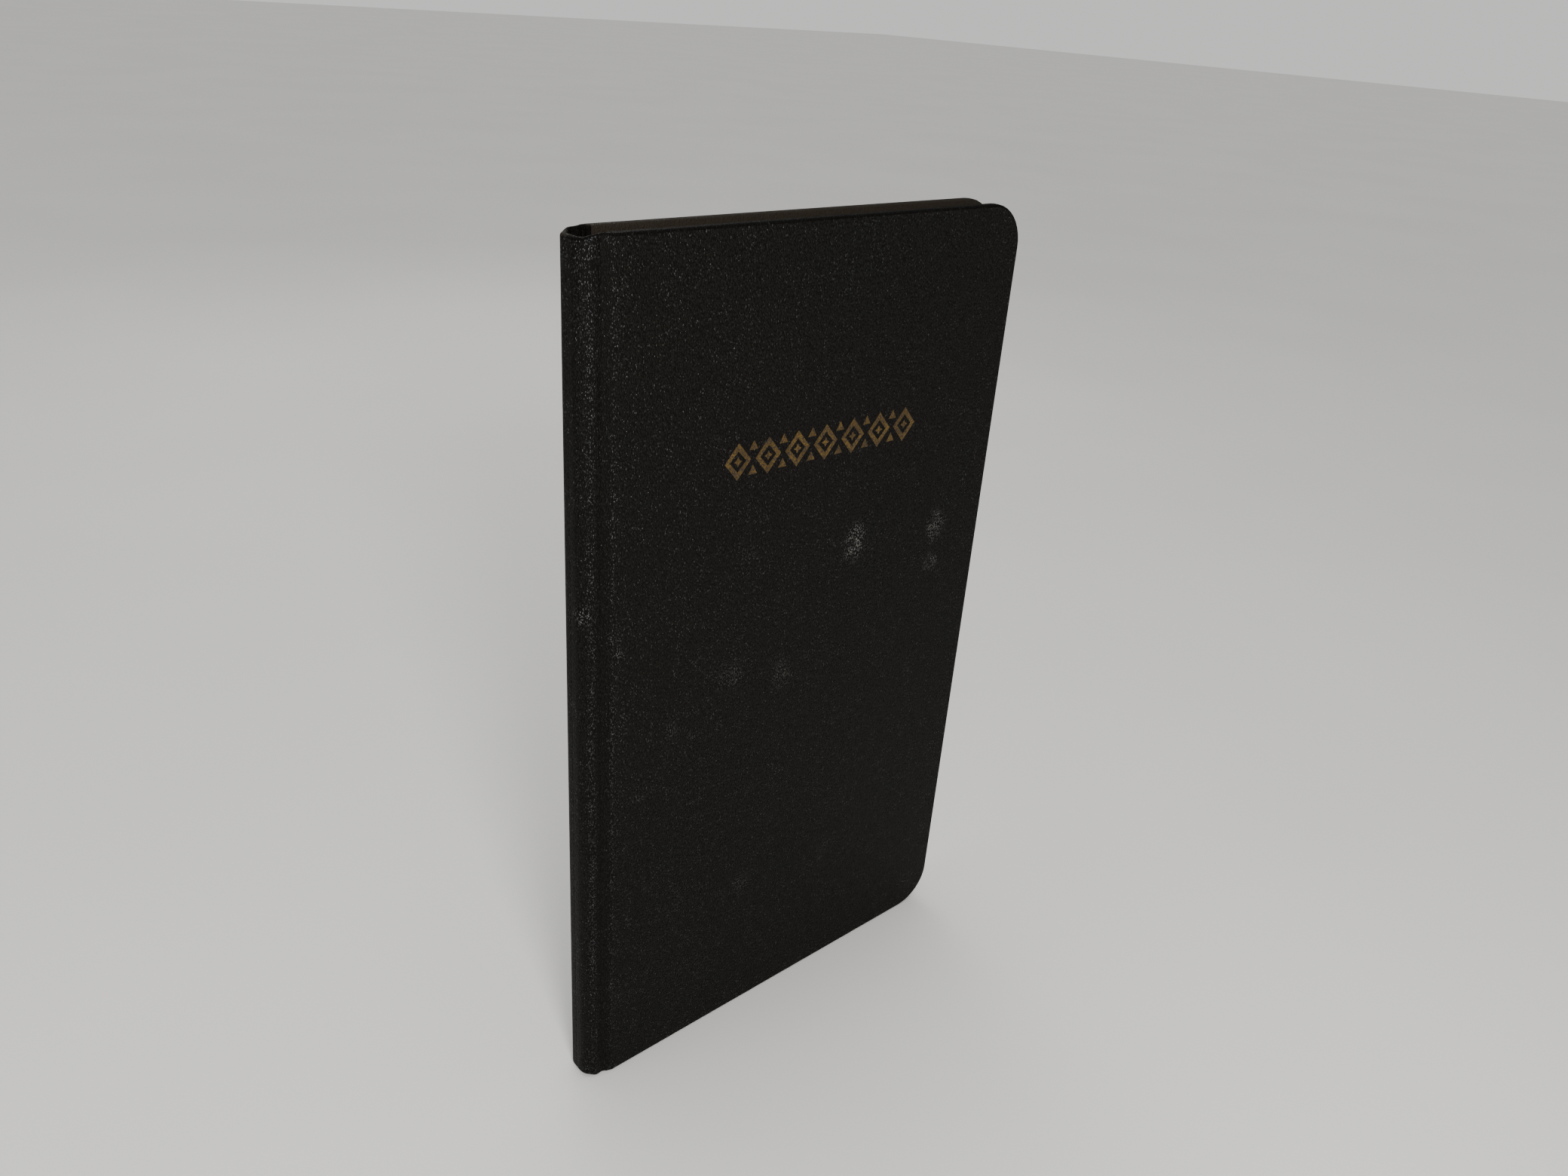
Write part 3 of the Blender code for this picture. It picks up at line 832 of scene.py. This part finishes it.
def cloth_material():
    """Black grained book cloth: rubbed and scuffed where it has worn, with painted shade on turned-in cloth
    and the front board's edges, painted light on the back board's edges, and painted glints and sheen.
    """
    graph = Graph("grained_cloth_look")
    height, chance = grain(graph)
    wear_and_sheen, rim = graph.stored("wear_and_sheen"), graph.stored("rim")
    patches = graph.noise(graph.rest_mm(), 0.22, 4.0, 0.6)
    glints = glint_mask(graph, height, chance, wear_and_sheen, patches)
    scuffs = scuff_mask(graph)
    slow = graph.noise(graph.rest_mm(), 0.045, 3.0)
    dye = graph.blend(graph.spread(slow, 0.35, 0.65), DYE, BROWN_DYE)
    # Painted shade: the valleys between the pebbles are darker.
    colour = graph.blend(graph.spread(height, 0.12, 0.56), VALLEY_SHADE, dye)
    # Rubbed cloth, lightened further by a painted bluish sheen on the shoulder, the ridge and the spine's
    # head.
    broken = graph.math("MULTIPLY", wear_and_sheen, graph.spread(patches, 0.30, 0.72))
    rubbed_and_sheen = graph.math("MULTIPLY", broken, graph.spread(height, 0.55, 0.95), True)
    chalk = graph.math("MULTIPLY", scuffs, graph.spread(height, 0.45, 0.85))
    # Painted glints, painted shade and painted light on the rim, rubbing with painted sheen, then chalky
    # scuffs.
    for mask, share, over in (
        (glints, 0.50, GLINT),
        (graph.spread(rim, 0.0, SHADED_RIM), 0.7, SHADED_CLOTH),
        (graph.spread(rim, SHADED_RIM, LIT_RIM), 0.8, LIT_EDGE_CLOTH),
        (rubbed_and_sheen, 0.40, RUBBED_SHEEN_CLOTH),
        (chalk, 0.85, CHALKED_CLOTH),
    ):
        colour = graph.blend(graph.math("MULTIPLY", mask, share), colour, over)
    graph.put(graph.shader.inputs["Base Color"], colour)

    rough = graph.spread(glints, 0.0, 0.8, 0.50, 0.26)
    rough = graph.math("ADD", rough, graph.math("MULTIPLY", scuffs, 0.2))
    graph.put(graph.shader.inputs["Roughness"], rough)
    shine = graph.spread(glints, 0.0, 0.9, 0.035, 0.44)
    shine = graph.math("MULTIPLY", shine, graph.spread(rim, 0.0, SHADED_RIM, 1.0, 0.3))
    graph.put(graph.shader.inputs["Specular IOR Level"], shine)
    graph.put(graph.shader.inputs["Normal"], graph.bump(height, GRAIN_DEPTH))
    return graph.material


def foil_material():
    """Old gold foil, gone from the valleys of the grain and from larger patches."""
    graph = Graph("worn_gold_foil")
    height, chance = grain(graph)
    thin = graph.noise(graph.rest_mm(), 3.4, 4.0, 0.7)
    gone = graph.math("MULTIPLY", graph.spread(thin, 0.43, 0.55), graph.spread(height, 0.15, 0.7, 1.0, 0.62))
    tone = graph.noise(graph.rest_mm(), 0.35, 3.0)
    gold = graph.blend(graph.spread(tone, 0.35, 0.65), GOLD, DULL_GOLD)
    graph.put(graph.shader.inputs["Base Color"], graph.blend(gone, gold, BARE_CLOTH))
    graph.put(graph.shader.inputs["Metallic"], graph.spread(gone, 0.0, 1.0, 0.50, 0.0))
    graph.put(graph.shader.inputs["Specular IOR Level"], 0.15)
    graph.put(graph.shader.inputs["Roughness"], graph.spread(chance, 0.3, 0.7, 0.42, 0.6))
    graph.put(graph.shader.inputs["Normal"], graph.bump(height, 0.05 * MM))
    return graph.material


def edge_nearness(graph, place_mm, unevenness):
    """1 at the open edges of the leaves, where air and fingers brown the paper, fading to 0 further in."""
    parts = graph.node("ShaderNodeSeparateXYZ", None, Vector=place_mm)
    fore = graph.math("SUBTRACT", PAGE_HIGH.x / MM, parts.outputs[0])
    head = graph.math("SUBTRACT", PAGE_HIGH.z / MM, parts.outputs[2])
    tail = graph.math("SUBTRACT", parts.outputs[2], PAGE_LOW.z / MM)
    nearest = graph.math("MINIMUM", fore, graph.math("MINIMUM", head, tail))
    ragged = graph.math("ADD", nearest, graph.math("MULTIPLY", unevenness, -6.0))
    return graph.spread(ragged, -3.5, 4.5, 1.0, 0.0)


def paper_material(name, light, dark, depth):
    """Uncoated paper: slight mottling, fibres, and a tint that differs a little from leaf to leaf."""
    graph = Graph(name)
    place_mm = graph.rest_mm()
    mottle = graph.noise(place_mm, 0.16, 4.0, 0.6)
    fibres = graph.noise(graph.rest_in(0.10 * MM, 0.55 * MM), 1.0, 3.0)
    leaf = graph.node("ShaderNodeObjectInfo").outputs["Random"]
    share = graph.math("ADD", graph.spread(mottle, 0.3, 0.7, 0.0, 0.45), graph.math("MULTIPLY", leaf, 0.45))
    share = graph.math("ADD", share, graph.math("MULTIPLY", fibres, 0.15), True)
    colour = graph.blend(share, light, dark)
    toned = graph.math("MULTIPLY", edge_nearness(graph, place_mm, mottle), 0.55)
    graph.put(graph.shader.inputs["Base Color"], graph.blend(toned, colour, BROWNED_PAPER))
    graph.put(graph.shader.inputs["Roughness"], graph.spread(fibres, 0.3, 0.7, 0.78, 0.92))
    graph.put(graph.shader.inputs["Specular IOR Level"], 0.25)
    graph.put(graph.shader.inputs["Normal"], graph.bump(fibres, depth))
    return graph.material


def object_place(graph, step):
    """Like rest, in steps of that size, for a CAD node, which carries no rest attribute."""
    source = graph.node("ShaderNodeTexCoord").outputs["Object"]
    return graph.vector_math("MULTIPLY", source, (1 / step,) * 3)


def board_material(name, light, dark):
    """Grey or brown board: pressed fibres and flecks."""
    graph = Graph(name)
    where = object_place(graph, MM)
    flecks = graph.noise(where, 2.4, 5.0, 0.7)
    felt = graph.noise(where, 0.5, 3.0)
    share = graph.math("MULTIPLY", graph.spread(flecks, 0.35, 0.65), graph.spread(felt, 0.2, 0.8, 0.5, 1.0))
    graph.put(graph.shader.inputs["Base Color"], graph.blend(share, light, dark))
    graph.put(graph.shader.inputs["Roughness"], 0.9)
    graph.put(graph.shader.inputs["Normal"], graph.bump(flecks, 0.04 * MM))
    return graph.material


def woven_material(name, light, dark, pitch, depth):
    """Gauze or thread: two crossed sets of round yarns."""
    graph = Graph(name)
    where = object_place(graph, pitch)
    parts = graph.node("ShaderNodeSeparateXYZ", None, Vector=where)
    warp = graph.math("ABSOLUTE", graph.math("SINE", graph.math("MULTIPLY", parts.outputs[1], math.pi)))
    weft = graph.math("ABSOLUTE", graph.math("SINE", graph.math("MULTIPLY", parts.outputs[2], math.pi)))
    yarn = graph.math("MAXIMUM", warp, weft)
    soil = graph.noise(where, 0.2, 3.0)
    share = graph.math("MULTIPLY", yarn, graph.spread(soil, 0.2, 0.8, 0.7, 1.0))
    graph.put(graph.shader.inputs["Base Color"], graph.blend(share, dark, light))
    graph.put(graph.shader.inputs["Roughness"], 0.95)
    graph.put(graph.shader.inputs["Normal"], graph.bump(yarn, depth))
    return graph.material


def floor_material():
    """A matt pale floor with barely visible mottling."""
    graph = Graph("pale_floor")
    source = graph.node("ShaderNodeTexCoord").outputs["Object"]
    tone = graph.spread(graph.noise(source, 6.0, 2.0), 0.3, 0.7)
    colour = graph.blend(tone, rgb(0.555, 0.548, 0.532), rgb(0.575, 0.568, 0.552))
    graph.put(graph.shader.inputs["Base Color"], colour)
    graph.put(graph.shader.inputs["Roughness"], 0.85)
    return graph.material


MATERIALS = {
    "cloth": cloth_material(),
    "foil": foil_material(),
    "page": paper_material(
        "page_paper_look",
        rgb(0.70, 0.645, 0.53),
        rgb(0.58, 0.515, 0.39),
        0.012 * MM,
    ),
    "endpaper": paper_material(
        "endpaper_look",
        rgb(0.62, 0.575, 0.475),
        rgb(0.53, 0.48, 0.375),
        0.018 * MM,
    ),
    "board": board_material("greyboard_look", rgb(0.36, 0.335, 0.30), rgb(0.22, 0.20, 0.18)),
    "card": board_material("spine_card_look", rgb(0.43, 0.35, 0.26), rgb(0.30, 0.235, 0.165)),
    "kraft": board_material("kraft_lining_look", rgb(0.42, 0.30, 0.19), rgb(0.31, 0.21, 0.125)),
    "gauze": woven_material(
        "mull_gauze_look",
        rgb(0.78, 0.74, 0.65),
        rgb(0.45, 0.40, 0.32),
        0.8 * MM,
        0.06 * MM,
    ),
    "thread": woven_material(
        "linen_thread_look",
        rgb(0.82, 0.79, 0.71),
        rgb(0.6, 0.56, 0.48),
        0.12 * MM,
        0.02 * MM,
    ),
}

CAD_LOOKS = {
    "front_board": "board",
    "back_board": "board",
    "spine_lining": "kraft",
    "spine_mull": "gauze",
    "front_mull_flap": "gauze",
    "back_mull_flap": "gauze",
    "sewing_thread": "thread",
}


def dress_cad_nodes():
    """Gives the hidden CAD nodes that scene.py does not replace a material each."""
    for node, look in CAD_LOOKS.items():
        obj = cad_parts[node]
        obj.data.materials.clear()
        obj.data.materials.append(MATERIALS[look])


# ---------------------------------------------------------------- stage


def area_light(name, place_at, aim, size, power, colour):
    """A soft round light turned towards aim."""
    light = bpy.data.lights.new(name, "AREA")
    light.shape = "DISK"
    light.size = size
    light.energy = power
    light.color = colour
    made = bpy.data.objects.new(name, light)
    made.location = place_at
    made.rotation_mode = "QUATERNION"
    made.rotation_quaternion = (Vector(aim) - Vector(place_at)).to_track_quat("-Z", "Y")
    bpy.context.scene.collection.objects.link(made)


def floor_and_lights():
    """A pale floor, three soft lamps and a broad one overhead."""
    corners = [(x * FLOOR_HALF, y * FLOOR_HALF, 0.0) for x, y in ((-1, -1), (1, -1), (1, 1), (-1, 1))]
    floor = mesh_object("floor", corners, [(0, 1, 2, 3)])
    floor.data.materials.append(floor_material())

    aim = (0.0, 0.0, HEIGHT / 2)
    for name, (place_at, size, power, colour) in LIGHTS.items():
        area_light(name, place_at, aim, size, power, colour)
    sky = bpy.data.lights.new("sky", "SUN")
    sky.energy = SKY_POWER
    sky.angle = math.radians(70)
    overhead = bpy.data.objects.new("sky", sky)
    overhead.rotation_euler = (math.radians(-12), math.radians(10), 0.0)
    bpy.context.scene.collection.objects.link(overhead)


def studio_world():
    """Pale walls to the camera, and less light from them on the book."""
    world = bpy.data.worlds.new("studio")
    world.use_nodes = True
    background = world.node_tree.nodes["Background"]
    background.inputs[0].default_value = rgb(0.86, 0.85, 0.84)
    seen = world.node_tree.nodes.new("ShaderNodeLightPath").outputs["Is Camera Ray"]
    strength = world.node_tree.nodes.new("ShaderNodeMapRange")
    world.node_tree.links.new(seen, strength.inputs[0])
    strength.inputs[3].default_value = WALLS_ON_BOOK
    strength.inputs[4].default_value = WALLS_SEEN
    world.node_tree.links.new(strength.outputs[0], background.inputs[1])
    bpy.context.scene.world = world


def photograph_camera():
    """The camera where the photograph was taken from, as far as the book's edges tell."""
    camera = bpy.data.cameras.new("camera")
    camera.lens = CAMERA_LENS
    camera.sensor_width = 36.0
    camera.clip_start = 0.01
    holder = bpy.data.objects.new("camera", camera)
    look = (Vector(CAMERA_AIM) - Vector(CAMERA_PLACE)).to_track_quat("-Z", "Y")
    spin = Matrix.Rotation(math.radians(CAMERA_ROLL), 4, "Z").to_quaternion()
    holder.rotation_mode = "QUATERNION"
    holder.rotation_quaternion = look @ spin
    holder.location = CAMERA_PLACE
    bpy.context.scene.collection.objects.link(holder)
    bpy.context.scene.camera = holder


def build():
    """The book around its frame, then the studio."""
    dress_cad_nodes()
    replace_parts(case_half("front"), "front_cover_cloth", "spine_cloth")
    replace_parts(case_half("back"), "back_cover_cloth")
    inlay()
    for name in SIDES:
        pastedown(name)
        flyleaf(name)
    pages()
    ornament()
    floor_and_lights()
    studio_world()
    photograph_camera()


build()
